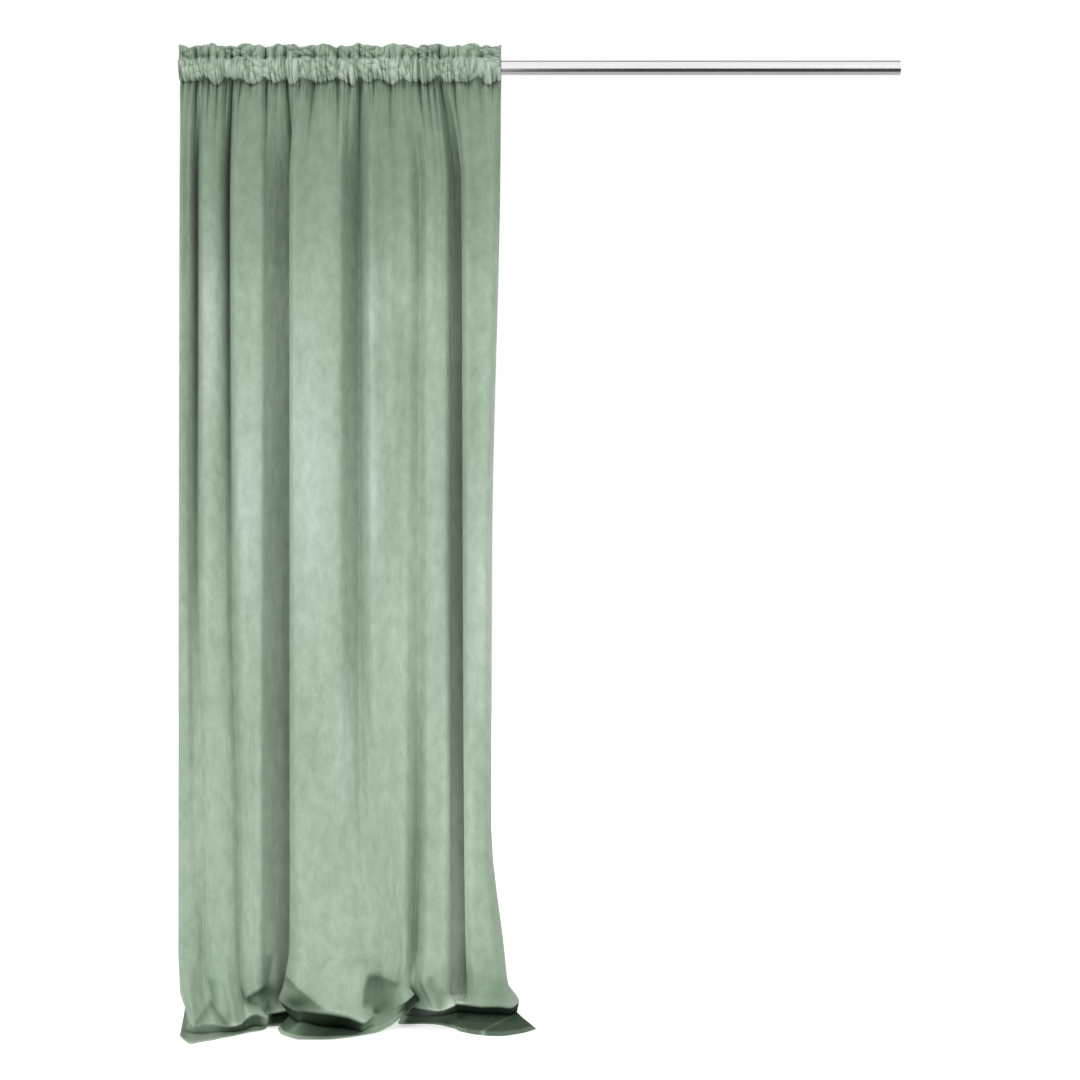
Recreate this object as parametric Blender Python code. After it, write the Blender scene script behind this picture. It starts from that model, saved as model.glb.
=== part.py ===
"""Velvet drape, gathered by its rod pocket on a plain steel rod, its hem breaking on the floor.

Sizes are metres unless a name says mm. X runs along the rod, the room is at -Y and the wall at +Y,
Z is up and the floor is Z = 0. "Across" is measured along the rod from the drape's left edge,
"out" from the rod's axis towards the room, "up" from the floor.
"""
import bpy
import numpy as np

ROD_DIAMETER = 0.035
ROD_LENGTH = 1.778
ROD_UP = 2.366
ROD_Y = 0.050
ROD_SIDES = 64

CLOTH_THICKNESS = 0.002
FLAT_WIDTH = 1.40
LEFT_EDGE_X = -0.894
ROD_CLEARANCE = 0.0066
ROD_GIVE = 0.003
CLOTH_SAG = 0.0035
POCKET_UP = ROD_UP - CLOTH_SAG
HIGH_UP = 2.06
MIDDLE_UP = 1.17
LOW_UP = 0.50
FOOT_UP = 0.20
SWELL_OUT = 0.009
SWELL_TURN = 0.012
SWELL_FADE = 0.15
SCALLOP_MM = 2
PULL_UP = 0.3
POOL_CRISP = 0.45
RUFFLE_PITCH_MM = 92
RUFFLE_OUT_MM = 7
RUFFLE_UP_MM = 3.5

COLUMNS = 300
HEADING_STEPS = 3
BODY_ROWS = 70
POOL_ROWS = 40
CLOTH_FACES = 5660

VELVET_COLOUR = (0.33, 0.47, 0.345, 1)
STEEL_COLOUR = (0.62, 0.62, 0.63, 1)

# The edges and folds from left to right, mm. "head" is across at the pocket; then across and out
# at four heights: high on the drape, half-way down, low, and at its foot above the break.
FOLDS = (
    # name, head, high across, out, middle across, out, low across, out, foot across, out
    ("side_hem", 6, 20, -26, 32, -32, 34, -34, 30, -26),
    ("f1_turn", 10, 7, 12, 7, 16, 8, 18, 8, 18),
    ("f1_crest", 18, 13, 34, 13, 36, 14, 38, 15, 42),
    ("f1_face", 30, 24, 24, 27, 30, 34, 36, 37, 36),
    ("v1_slope", 40, 34, 14, 34, 12, 49, 30, 54, 28),
    ("v1_root", 52, 43, -30, 45, -2, 64, 28, 66, 20),
    ("f2_lip", 64, 56, 14, 57, 18, 76, 32, 78, 27),
    ("f2_crest", 76, 70, 36, 76, 36, 92, 36, 95, 36),
    ("f2_face", 100, 98, 28, 102, 32, 120, 34, 123, 34),
    ("v2_slope", 118, 113, 2, 120, 20, 138, 28, 142, 26),
    ("v2_root", 132, 121, -40, 130, 4, 152, 18, 155, 15),
    ("f3_lip", 147, 134, 18, 144, 20, 164, 28, 166, 26),
    ("f3_crest", 162, 146, 36, 162, 36, 180, 36, 183, 36),
    ("f3_face", 190, 182, 34, 190, 34, 196, 34, 197, 36),
    ("f3_edge", 208, 209, 28, 210, 30, 210, 30, 210, 32),
    ("v3_slope", 222, 220, 2, 220, 4, 220, 4, 219, 8),
    ("v3_deep", 250, 252, -32, 258, -30, 260, -32, 260, -34),
    ("v3_root", 276, 300, -46, 316, -50, 322, -48, 316, -46),
    ("f4_lip", 296, 278, 16, 279, 18, 279, 12, 278, 5),
    ("f4_crest", 312, 289, 34, 292, 38, 295, 36, 299, 32),
    ("f4_pleat", 330, 312, 33, 317, 38, 321, 40, 326, 41),
    ("f4_mid", 350, 336, 33, 344, 38, 350, 42, 355, 45),
    ("f4_face", 400, 403, 31, 404, 36, 409, 42, 422, 46),
    ("v4_slope", 428, 419, -8, 424, 8, 438, 38, 460, 46),
    ("v4_root", 450, 448, -36, 449, -10, 456, 30, 490, 44),
    ("f5_lip", 465, 464, 8, 461, 13, 477, 36, 510, 42),
    ("f5_crest", 484, 478, 34, 482, 38, 499, 40, 531, 40),
    ("f5_dip", 520, 523, 9, 533, 22, 541, 34, 555, 30),
    ("f5b_crest", 548, 569, 32, 567, 33, 567, 32, 569, 26),
    ("f5b_dip", 574, 598, 5, 596, 18, 595, 4, 586, 0),
    ("f5c_crest", 594, 618, 32, 618, 33, 616, 30, 614, 30),
    ("f5c_face", 616, 643, 29, 648, 30, 648, 30, 651, 32),
    ("f5c_edge", 632, 659, 22, 661, 24, 663, 25, 663, 26),
    ("v5_slope", 642, 671, -9, 673, -14, 674, -14, 674, -10),
    ("v5_root", 656, 724, -46, 744, -48, 750, -46, 744, -40),
    ("f6_lip", 676, 702, 12, 705, 14, 708, 12, 712, 9),
    ("f6_crest", 700, 715, 34, 719, 36, 721, 36, 725, 36),
    ("f6_dip", 736, 749, 20, 745, 34, 742, 36, 752, 36),
    ("f6_face", 770, 773, 28, 760, 32, 757, 32, 776, 32),
    ("right_hem", 798, 795, 4, 775, 2, 773, 4, 804, 7),
)

# The same columns of cloth over the floor, mm: across, out and up where they break, at the knee,
# at the tuck beneath it and at the hem.
POOL = (
    # name, break across, out, up, knee across, out, up, tuck across, out, up, hem across, out, up
    ("side_hem", 22, -14, 89, 20, 24, 34, 16, 40, 4, 24, 108, 2),
    ("f1_turn", 12, 40, 97, 42, 90, 41, 30, 88, 10, 37, 140, 2),
    ("f1_crest", 21, 66, 115, 56, 128, 40, 42, 98, 8, 52, 170, 2),
    ("f1_face", 40, 70, 116, 66, 142, 36, 62, 104, 6, 63, 183, 2),
    ("v1_slope", 53, 56, 113, 80, 112, 34, 80, 94, 4, 80, 170, 2),
    ("v1_root", 69, 44, 98, 95, 98, 30, 98, 86, 4, 95, 158, 2),
    ("f2_lip", 82, 50, 100, 109, 98, 28, 112, 82, 4, 108, 148, 2),
    ("f2_crest", 103, 58, 114, 134, 102, 25, 129, 82, 4, 122, 133, 2),
    ("f2_face", 135, 62, 114, 158, 108, 30, 148, 80, 4, 137, 120, 2),
    ("v2_slope", 150, 44, 111, 168, 84, 29, 163, 70, 4, 153, 108, 2),
    ("v2_root", 156, 22, 105, 175, 66, 36, 176, 58, 4, 167, 92, 2),
    ("f3_lip", 163, 18, 83, 186, 60, 44, 187, 50, 8, 179, 78, 2),
    ("f3_crest", 182, 34, 96, 201, 62, 50, 199, 48, 10, 192, 67, 2),
    ("f3_face", 201, 44, 103, 215, 58, 44, 213, 40, 8, 205, 60, 2),
    ("f3_edge", 212, 36, 101, 226, 48, 36, 222, 30, 9, 218, 46, 2),
    ("v3_slope", 220, 6, 90, 222, 16, 34, 225, -20, 18, 224, 20, 3),
    ("v3_deep", 254, -40, 80, 248, 12, 38, 248, -40, 18, 252, 8, 2),
    ("v3_root", 298, -44, 80, 272, 8, 44, 277, -38, 20, 268, 14, 2),
    ("f4_lip", 262, 6, 102, 254, 22, 71, 280, 16, 26, 252, 40, 2),
    ("f4_crest", 299, 50, 124, 293, 66, 62, 300, 40, 18, 266, 92, 3),
    ("f4_pleat", 330, 66, 128, 328, 84, 62, 316, 44, 20, 308, 140, 3),
    ("f4_mid", 359, 80, 143, 380, 120, 67, 353, 52, 12, 328, 144, 3),
    ("f4_face", 425, 88, 152, 434, 112, 54, 415, 44, 5, 399, 140, 3),
    ("v4_slope", 463, 98, 158, 470, 106, 38, 462, 96, 8, 450, 112, 2),
    ("v4_root", 486, 90, 147, 489, 94, 50, 483, 92, 20, 475, 95, 2),
    ("f5_lip", 511, 66, 132, 510, 76, 50, 506, 76, 22, 499, 72, 2),
    ("f5_crest", 530, 56, 125, 536, 64, 62, 534, 52, 34, 530, 34, 10),
    ("f5_dip", 553, 42, 117, 568, 54, 76, 569, 50, 60, 568, 42, 44),
    ("f5b_crest", 570, 38, 112, 586, 54, 91, 593, 52, 83, 600, 46, 73),
    ("f5b_dip", 585, 32, 111, 574, 12, 57, 558, 0, 29, 542, -12, 3),
    ("f5c_crest", 611, 72, 124, 637, 88, 62, 608, 6, 26, 607, -10, 3),
    ("f5c_face", 649, 48, 99, 658, 70, 58, 662, 4, 30, 648, 0, 2),
    ("f5c_edge", 663, 30, 90, 679, 60, 65, 681, 0, 32, 680, 30, 2),
    ("v5_slope", 675, -6, 80, 686, 44, 68, 690, -8, 32, 694, 56, 2),
    ("v5_root", 722, -26, 78, 704, 46, 68, 708, -10, 32, 714, 74, 2),
    ("f6_lip", 717, 24, 92, 722, 52, 67, 728, 0, 32, 738, 92, 2),
    ("f6_crest", 733, 54, 105, 748, 62, 66, 752, 6, 31, 772, 106, 2),
    ("f6_dip", 757, 56, 106, 796, 66, 67, 795, 8, 31, 812, 104, 2),
    ("f6_face", 791, 44, 108, 821, 56, 62, 820, 8, 29, 850, 79, 2),
    ("right_hem", 815, 16, 107, 842, 24, 69, 837, 8, 36, 884, 38, 2),
)

# Places down the cloth from the lower stitch line for the rows of both tables, m
DOWN_THE_CLOTH = (0, 0.28, 1.17, 1.84, 2.14, 2.24, 2.33, 2.38, 2.45)

# How crisp the cloth turns at those places, from 0, smooth, to 1, creased
CRISP_DOWN = (0, 0, 0, 0, 0, 0.3, 0.9, 0.8, 0.5)

# The sharp puckers of the gathers at the rod, mm
PUCKERS = (
    # across the heading, depth, half width, reach down the cloth
    (14, 5, 5, 60),
    (29, 6, 5, 50),
    (44, 13, 5, 170),
    (62, 5, 6, 50),
    (76, 9, 5, 90),
    (97, 8, 4, 90),
    (118, 9, 4, 100),
    (133, 13, 5, 150),
    (155, 8, 5, 80),
    (180, 5, 6, 50),
    (217, 12, 7, 150),
    (242, 6, 6, 60),
    (267, 12, 5, 150),
    (300, 5, 7, 60),
    (336, 10, 7, 120),
    (366, 5, 7, 50),
    (395, 9, 5, 100),
    (424, 6, 6, 70),
    (449, 12, 6, 160),
    (484, 5, 7, 50),
    (523, 9, 6, 120),
    (556, 5, 6, 60),
    (595, 9, 5, 110),
    (615, 8, 4, 100),
    (630, 8, 4, 100),
    (646, 13, 5, 150),
    (681, 9, 6, 110),
    (718, 5, 7, 60),
    (750, 9, 6, 100),
    (777, 5, 5, 50),
)

# The turned-over heading from the hem of its back flap, over the top, to the lower stitch line in
# front, mm: up from the pocket's middle, out from it, then the share of puckers, ruffle and scallop.
HEADING = (
    # place, up, out, puckers, ruffle, scallop
    ("flap_hem", -42, -5, 0.9, 0, 1),
    ("lower_stitch_back", -30, -4, 1, 0, 1),
    ("pocket_back_low", -15, -30, -0.3, 0, 0.4),
    ("pocket_back", 0, -35, -0.6, 0, 0),
    ("pocket_back_high", 14, -28, -0.3, 0, 0),
    ("upper_stitch_back", 26, 2, 1, 0.2, 0.5),
    ("frill_back_low", 34, 3, 0.9, 0.3, 0),
    ("frill_back", 46, 3, 0.7, 0.9, 0),
    ("frill_back_high", 54, 5, 0.6, 1, 0),
    ("frill_top", 57, 9, 0.6, 1, 0),
    ("frill_front_high", 54, 13, 0.6, 1, 0),
    ("frill_front", 46, 15, 0.7, 0.9, 0),
    ("frill_front_low", 34, 17, 0.9, 0.3, 0),
    ("upper_stitch", 26, 18, 1, 0.2, 0.5),
    ("pocket_front_high", 14, 31, 0.9, 0, 0.6),
    ("pocket_front", 0, 35, 0.85, 0, 0.3),
    ("pocket_front_low", -15, 33, 0.9, 0, 0.6),
    ("pocket_lip", -27, 20, 1, 0, 1),
    ("lower_stitch", -30, 4, 1, 0, 1),
)


def clear_scene():
    """Start from an empty scene."""
    for obj in list(bpy.data.objects):
        bpy.data.objects.remove(obj)


def steady_slopes(knots, values):
    """Slopes that keep a curve between its neighbouring knots, flat where it turns back."""
    steps = np.diff(knots).reshape((-1,) + (1,) * (values.ndim - 1))
    rises = np.diff(values, axis=0) / steps
    before, after = rises[:-1], rises[1:]
    both = before * after
    mean = 2 * both / np.where(both > 0, before + after, 1)
    slopes = np.concatenate([rises[:1], np.where(both > 0, mean, 0), rises[-1:]])
    return slopes


def smooth_through(at, knots, values, steady=False, crisp=0.0):
    """A curve through the values at the knots, read at the places asked for: smooth, or crisper."""
    slopes = steady_slopes(knots, values) if steady else np.gradient(values, knots, axis=0)
    first = np.clip(np.searchsorted(knots, at) - 1, 0, len(knots) - 2)
    step = knots[first + 1] - knots[first]
    t = (at - knots[first]) / step
    wide = (-1,) + (1,) * (values.ndim - 1)
    step = step.reshape(wide)
    t = t.reshape(wide)
    start = (2 * t**3 - 3 * t**2 + 1) * values[first]
    end = (3 * t**2 - 2 * t**3) * values[first + 1]
    leave = (t**3 - 2 * t**2 + t) * step * slopes[first]
    arrive = (t**3 - t**2) * step * slopes[first + 1]
    straight = (1 - t) * values[first] + t * values[first + 1]
    curved = start + end + leave + arrive
    return curved + crisp * (straight - curved)


def length_of(across, out):
    """Length of cloth along a row."""
    return np.hypot(np.diff(across), np.diff(out)).sum()


def depth_scale(across, out):
    """How much deeper a row's folds are made so that the row takes up the cloth's flat width."""
    low, high = 0.0, 4.0
    for _ in range(40):
        middle = (low + high) / 2
        if length_of(across, out * middle) < FLAT_WIDTH:
            low = middle
        else:
            high = middle
    return low


def flat_positions():
    """Where each fold line lies across the flat cloth, from the folds half-way down."""
    across = np.array([row[4] for row in FOLDS]) / 1000
    out = np.array([row[5] for row in FOLDS]) / 1000
    steps = np.hypot(np.diff(across), np.diff(out))
    places = np.concatenate([[0], np.cumsum(steps)])
    return places * FLAT_WIDTH / places[-1]


def column_values(table, column, at, crisp=0.0):
    """One column of a table of folds, read across the flat cloth."""
    values = np.array([row[column] for row in table]) / 1000
    return smooth_through(at, flat_positions(), values, crisp=crisp)


def fold_row(at, column, up):
    """A level row of the hanging folds as across, out and up."""
    across = column_values(FOLDS, column, at)
    out = column_values(FOLDS, column + 1, at)
    out = out * depth_scale(across, out)
    return np.stack([across, out, np.full_like(at, up)], axis=-1)


def pool_rows(at):
    """Rows at the break, the knee, the tuck and the hem on the floor."""
    rows = []
    for column in (1, 4, 7, 10):
        across = column_values(POOL, column, at, POOL_CRISP)
        out = column_values(POOL, column + 1, at, POOL_CRISP)
        up = column_values(POOL, column + 2, at, POOL_CRISP)
        rows.append(np.stack([across, out, np.maximum(up, 0.0012)], axis=-1))
    return rows


def puckers_apart(across):
    """Each pucker's own pull on the cloth, a row for each, and how far down it reaches."""
    place, depth, width, reach = np.array(PUCKERS, dtype=float).T[:, :, None] / 1000
    pulled = -depth * np.exp(-np.abs(across[None, :] - place) / width)
    return pulled * depth_scale(across, pulled.sum(axis=0)), reach[:, 0]


def ruffle_wave(across):
    """The looser waves of the frill above the rod."""
    x = across * 1000 / RUFFLE_PITCH_MM
    long_wave = 0.6 * np.sin(2 * np.pi * x + 0.6)
    short_wave = 0.3 * np.sin(2 * np.pi * 2.3 * x + 1.9)
    return long_wave + short_wave + 0.2 * np.sin(2 * np.pi * 4.1 * x + 0.4)


def scallop_wave(across):
    """The uneven pull of the thread on the lower stitch line."""
    return np.sin(2 * np.pi * across / 0.061) + 0.6 * np.sin(2 * np.pi * across / 0.037 + 1)


def heading_rows(at):
    """Rows from the back flap's hem, over the top of the frill, to the lower stitch line."""
    across = column_values(FOLDS, 1, at)
    pulled = puckers_apart(across)[0].sum(axis=0)
    ruffle = ruffle_wave(across)
    scallop = scallop_wave(across) * SCALLOP_MM - pulled * 1000 * PULL_UP
    knots = np.arange(len(HEADING), dtype=float)
    places = np.linspace(0, knots[-1], (len(HEADING) - 1) * HEADING_STEPS + 1)
    table = np.array([row[1:] for row in HEADING], dtype=float)
    rows = []
    for up, out, puckered, ruffled, scalloped in smooth_through(places, knots, table):
        forward = out / 1000 + puckered * pulled + ruffled * ruffle * RUFFLE_OUT_MM / 1000
        height = up + ruffled * ruffle_wave(across + 0.03) * RUFFLE_UP_MM
        height = POCKET_UP + (height + scalloped * scallop) / 1000
        rows.append(np.stack([across, forward, height], axis=-1))
    return rows


def hanging_rows(at, stitch_row):
    """Rows from the lower stitch line down the folds and over the floor."""
    pulled, reach = puckers_apart(column_values(FOLDS, 1, at))
    plain = stitch_row.copy()
    plain[:, 1] -= pulled.sum(axis=0)
    marks = [plain, fold_row(at, 2, HIGH_UP), fold_row(at, 4, MIDDLE_UP)]
    marks += [fold_row(at, 6, LOW_UP), fold_row(at, 8, FOOT_UP)]
    marks += pool_rows(at)
    places = body_places()
    crisp = np.interp(places, DOWN_THE_CLOTH, CRISP_DOWN)[:, None, None]
    rows = smooth_through(places, np.array(DOWN_THE_CLOTH), np.stack(marks), True, crisp)
    rows[:, :, 1] += np.exp(-places[:, None] / reach) @ pulled
    swell = SWELL_OUT * (1 - np.exp(-places / SWELL_TURN)) * np.exp(-places / SWELL_FADE)
    rows[:, :, 1] += swell[:, None]
    return list(rows)


def body_places():
    """Places of the rows down the cloth, close together where it turns over the floor."""
    body = np.linspace(0.006, 2.08, BODY_ROWS)
    pool = np.linspace(2.10, DOWN_THE_CLOTH[-1], POOL_ROWS)
    return np.concatenate([body, pool])


def clear_of_rod(rows, back_rows):
    """Keep the cloth on its own side of the rod and no nearer its axis than the pocket allows."""
    least = ROD_DIAMETER / 2 + ROD_CLEARANCE
    up = rows[..., 2] - POCKET_UP
    room = np.sqrt(np.maximum(least**2 - up**2, 0))
    side = np.where(np.arange(len(rows)) < back_rows, -1, 1)[:, None]
    out = side * rows[..., 1]
    kept = ROD_GIVE * np.logaddexp(out / ROD_GIVE, room / ROD_GIVE)
    rows[..., 1] = side * np.where(room > 0, kept, out)
    return rows


def cloth_points():
    """The middle of the cloth as a grid of rows and columns in X, Y, Z."""
    at = np.linspace(0, FLAT_WIDTH, COLUMNS)
    heading = heading_rows(at)
    rows = np.array(heading + hanging_rows(at, heading[-1]))
    rows = clear_of_rod(rows, len(heading) // 2)
    x = LEFT_EDGE_X + rows[..., 0]
    y = ROD_Y - rows[..., 1]
    return np.stack([x, y, np.maximum(rows[..., 2], 0.0012)], axis=-1)


def grid_object(name, points):
    """A sheet with one vertex per grid point."""
    rows, columns = points.shape[:2]
    index = np.arange(rows * columns).reshape(rows, columns)
    corners = (index[:-1, :-1], index[1:, :-1], index[1:, 1:], index[:-1, 1:])
    faces = np.stack([corner.ravel() for corner in corners], axis=1)
    mesh = bpy.data.meshes.new(name)
    mesh.from_pydata(points.reshape(-1, 3).tolist(), [], faces.tolist())
    mesh.update()
    obj = bpy.data.objects.new(name, mesh)
    bpy.context.scene.collection.objects.link(obj)
    return obj


def material(name, colour, rough, metal):
    """A Principled BSDF of one colour."""
    made = bpy.data.materials.new(name)
    made.use_nodes = True
    shader = made.node_tree.nodes["Principled BSDF"]
    shader.inputs["Base Color"].default_value = colour
    shader.inputs["Roughness"].default_value = rough
    shader.inputs["Metallic"].default_value = metal
    return made


def build_drape():
    """The velvet panel: one cloth with its frill, rod pocket, folds and pooled hem."""
    points = cloth_points()
    obj = grid_object("drape_panel", points)
    thin = obj.modifiers.new("fewer_faces", "DECIMATE")
    thin.ratio = CLOTH_FACES / (2 * len(obj.data.polygons))
    thick = obj.modifiers.new("cloth_thickness", "SOLIDIFY")
    thick.thickness = CLOTH_THICKNESS
    thick.offset = 0
    obj.data.materials.append(material("sage_velvet", VELVET_COLOUR, 0.9, 0))


def build_rod():
    """The plain round rod with flat ends."""
    turn = np.linspace(0, 2 * np.pi, ROD_SIDES, endpoint=False)
    y = ROD_Y + ROD_DIAMETER / 2 * np.cos(turn)
    z = ROD_UP + ROD_DIAMETER / 2 * np.sin(turn)
    left = [(-ROD_LENGTH / 2, b, c) for b, c in zip(y, z)]
    right = [(ROD_LENGTH / 2, b, c) for b, c in zip(y, z)]
    faces = [(i, (i + 1) % ROD_SIDES, ROD_SIDES + (i + 1) % ROD_SIDES, ROD_SIDES + i)
             for i in range(ROD_SIDES)]
    faces.append(tuple(range(ROD_SIDES - 1, -1, -1)))
    faces.append(tuple(range(ROD_SIDES, 2 * ROD_SIDES)))
    mesh = bpy.data.meshes.new("rod")
    mesh.from_pydata(left + right, [], faces)
    mesh.update()
    obj = bpy.data.objects.new("rod", mesh)
    bpy.context.scene.collection.objects.link(obj)
    obj.data.materials.append(material("polished_steel", STEEL_COLOUR, 0.2, 1))


clear_scene()
build_drape()
build_rod()
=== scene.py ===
"""Looks of the velvet drape on its steel rod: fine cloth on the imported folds, finishes and staging.

Metres. X runs along the rod, the room is at -Y and the wall at +Y, Z is up and the floor is Z = 0.
"""
import math

import bpy
import numpy as np
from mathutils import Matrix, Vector


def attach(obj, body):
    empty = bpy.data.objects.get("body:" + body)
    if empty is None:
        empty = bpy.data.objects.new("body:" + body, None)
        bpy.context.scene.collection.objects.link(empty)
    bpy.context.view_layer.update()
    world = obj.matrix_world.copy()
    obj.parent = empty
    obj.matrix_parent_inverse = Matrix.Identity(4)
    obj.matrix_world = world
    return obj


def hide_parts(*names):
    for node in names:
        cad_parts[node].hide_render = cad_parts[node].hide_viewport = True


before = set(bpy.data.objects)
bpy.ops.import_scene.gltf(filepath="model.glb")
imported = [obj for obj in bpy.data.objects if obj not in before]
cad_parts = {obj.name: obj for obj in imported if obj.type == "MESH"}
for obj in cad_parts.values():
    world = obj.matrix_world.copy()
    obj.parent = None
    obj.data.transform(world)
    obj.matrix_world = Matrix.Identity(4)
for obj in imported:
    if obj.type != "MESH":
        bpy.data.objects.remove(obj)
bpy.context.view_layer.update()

# The rod and the cloth as they are packed, and the lowest that the cloth's middle lies, in metres
ROD_DIAMETER = 0.035
ROD_UP = 2.366
ROD_Y = 0.050
CLOTH_THICKNESS = 0.002
FLAT_WIDTH = 1.40
LEFT_EDGE_X = -0.894
CLOTH_SAG = 0.0035
POCKET_UP = ROD_UP - CLOTH_SAG
FLOOR_CLEAR = 0.0012

# How near the rod the cloth may come, and how softly it gives way
ROD_CLEARANCE = 0.0062
ROD_GIVE = 0.003

# The heights at which the folds are given, how the cloth swells below the pocket, and how
# straight the hem's curves run from fold to fold
HIGH_UP = 2.06
MIDDLE_UP = 1.17
LOW_UP = 0.50
FOOT_UP = 0.20
SWELL_OUT = 0.009
SWELL_TURN = 0.012
SWELL_FADE = 0.15
POOL_CRISP = 0.45

# The scallops of the lower stitches in mm, and the share of a pucker's depth by which it lifts them
SCALLOP_MM = 2
PULL_UP = 0.3
SCALLOP_WAVES = (
    # size, length in metres, start
    (1, 0.061, 0),
    (0.6, 0.037, 1),
)

# The waves of the ruffle: pitch, depth and height in mm, and how far along the rod in metres the
# waves of its height are read
RUFFLE_PITCH_MM = 92
RUFFLE_OUT_MM = 7
RUFFLE_UP_MM = 6
RUFFLE_SHIFT = 0.03
RUFFLE_WAVES = (
    # size, waves in a pitch, start
    (0.6, 1, 0.6),
    (0.3, 2.3, 1.9),
    (0.2, 4.1, 0.4),
)

# The search for how deep a row's folds are: the deepest tried and how often it is halved
DEEPEST = 4.0
HALVINGS = 40

# How finely the cloth is divided across, in the heading, and down to the hem
COLUMNS = 660
HEADING_STEPS = 4
BODY_ROWS = 44
BREAK_ROWS = 74
HEM_ROWS = 36

# Places down the cloth in metres from the lower stitches: the first row, the length of the long
# folds and how much closer their rows lie at the top, where the break starts, the knee with the
# step after it, the tuck and the rim
FIRST_ROW = 0.002
BODY_LONG = 2.078
ROW_SPREAD = 1.6
BREAK_START = 2.085
KNEE_PLACE = 2.335
KNEE_STEP = 0.003
TUCK_PLACE = 2.378
HEM_RIM_PLACE = 2.436

# The camera stands in front of the middle of the picture
CAMERA_X = 0.0
CAMERA_UP = 1.200
CAMERA_AWAY = 5.0
METRES_PER_PIXEL = 0.00247
PIXELS_ACROSS = 1080
SENSOR_MM = 36

# The small gathers at the two lines of stitches: the lines' heights from the pocket's middle,
# the gathers' depth, how they fade up and down, and how the cloth droops at the lines
UPPER_LINE = 0.025
LOWER_LINE = -0.030
GATHER_DEEP = 0.0085
GATHER_DOWN = 0.035
GATHER_UP = 0.016
GATHER_DROOP = 0.009
LIP_TALL = 0.011
SCALLOP_DROOP = 0.006
GATHER_MIDDLE = 0.5
LIP_WAVES = (
    # size, radians in a metre, start
    (1, 74, 0.8),
    (0.7, 131, 2.2),
)

# How the gathers are counted along the rod and how uneven they are: each line of stitches has its
# own shift, and between the lines the count goes from one to the other
GATHERS_WIDE = 0.8
FINE_PLACES = 801
FINE_STEP = 0.001
GATHER_WAVES = (
    # size, radians in a metre, share of the shift
    (0.45, 97, 1),
    (0.35, 171, 2.7),
)
JITTER = 0.3
JITTER_TURNS = 413
LOW_SHIFT = 0.4
HIGH_SHIFT = 2.3
GATHER_SLANT = 0.3
SLANT_RANGE = (-0.4, 1.6)
GATHER_SEED = 5
GATHER_COUNT = 80
GATHER_SIZES = (0.35, 1.0)

# The slanting creases of the heading: depth in metres, and two patterns that wander together
CRUMPLE_DEEP = 0.008
CRUMPLE_MIDDLE = 0.3
CRUMPLE_WANDER = (41, 55)
CRUMPLES = (
    # radians in a metre across, up, share of the wandering, start
    (54, 74, 2.1, 0),
    (77, -96, -1.7, 1),
)

# The creases at the break: how far they wander in mm and its radians in a metre up and across,
# how they fade at their ends in mm, the roundness of a crease and the factor that makes its
# height about 1, and how far its shade reaches in half widths and how sharply it starts in mm;
# the last keeps the sum small enough to work out
CREASE_WANDER = 1.8
WANDER_TURNS = (70, 60)
CREASE_PAST_END = 8
CREASE_END_FADE = 22
CREASE_ROUND = 0.15
CREASE_PEAK = 1.47
SHADE_REACH = 1.5
SHADE_EDGE = 1.5
LARGEST_POWER = 50

# How the pile is painted: tones, where 1 is plain, painted light on the pocket and shade on the ruffle,
# and shares of painted shade in creases and at the tuck, painted light on rims and sheen on crests
GATHER_DARK = 0.70
GATHER_LINE = 0.28
CRUMPLE_DARK = 0.50
CRUMPLE_LINE = 0.20
POCKET_TONE = 1.36
FRILL_TONE = 0.96
HEADING_SHEEN = 0.6
SILVER_FROM = 0.45
GREEN_STAYS = 0.85
TUCK_DARK = 0.45
KNEE_RIM_LIGHT = 0.30
# How much of the front's painted tone the woven back takes
BACK_SHADE = 0.35

# Over what lengths down the cloth the painted tones and the creases change, in metres
STITCH_BELOW = 0.005
STITCH_ABOVE = 0.007
TUCK_BLEND = 0.012
TUCK_FADE = 0.014
TUCK_WIDE = 0.007
RIM_BLEND = 0.004
KNEE_BLEND = 0.008
KNEE_RIM_BACK = 0.003
KNEE_RIM_WIDE = 0.004
CREASE_FADE = 0.01

# The pale seam on the toe, mm from the left edge at the tuck and at the rim
SEAM_ACROSS = (838, 756)
SEAM_WIDE_MM = 5
SEAM_LIGHT = 1.5

# Light, the floor's glow and half width, and the ends of the cards that the rod mirrors
WORLD_LIGHT = 0.60
KEY_SUN = 1.30
FILL_SUN = 0.65
FLOOR_GLOW = 0.45
FLOOR_REACH = 9
CARD_ACROSS = (-0.25, 2.3)

# Colours of the pile, its back and the steel, and how rough the steel is: where a row has two
# parts they are a place in the noise and its value
SAGE_TONES = (
    (0.30, (0.315, 0.410, 0.305, 1)),
    (0.52, (0.360, 0.458, 0.350, 1)),
    (0.72, (0.410, 0.505, 0.400, 1)),
)
SILVER_SAGE = (0.470, 0.560, 0.490, 1)
MOTTLE_TONES = ((0.30, (0.74, 0.77, 0.74, 1)), (0.70, (1.02, 1.02, 1.02, 1)))
PILE_TONES = ((0.30, (0.88, 0.88, 0.88, 1)), (0.70, (1.0, 1.0, 1.0, 1)))
SHEEN_TINT = (0.93, 1.0, 0.94, 1)
SHEEN_SHARE = 0.35
BACK_TONES = ((0.3, (0.150, 0.222, 0.160, 1)), (0.7, (0.200, 0.285, 0.212, 1)))
STEEL_ROUGH = ((0.3, (0.10, 0.10, 0.10, 1)), (0.7, (0.20, 0.20, 0.20, 1)))
STEEL_TONES = ((0.3, (0.80, 0.80, 0.81, 1)), (0.7, (0.90, 0.90, 0.91, 1)))

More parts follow.
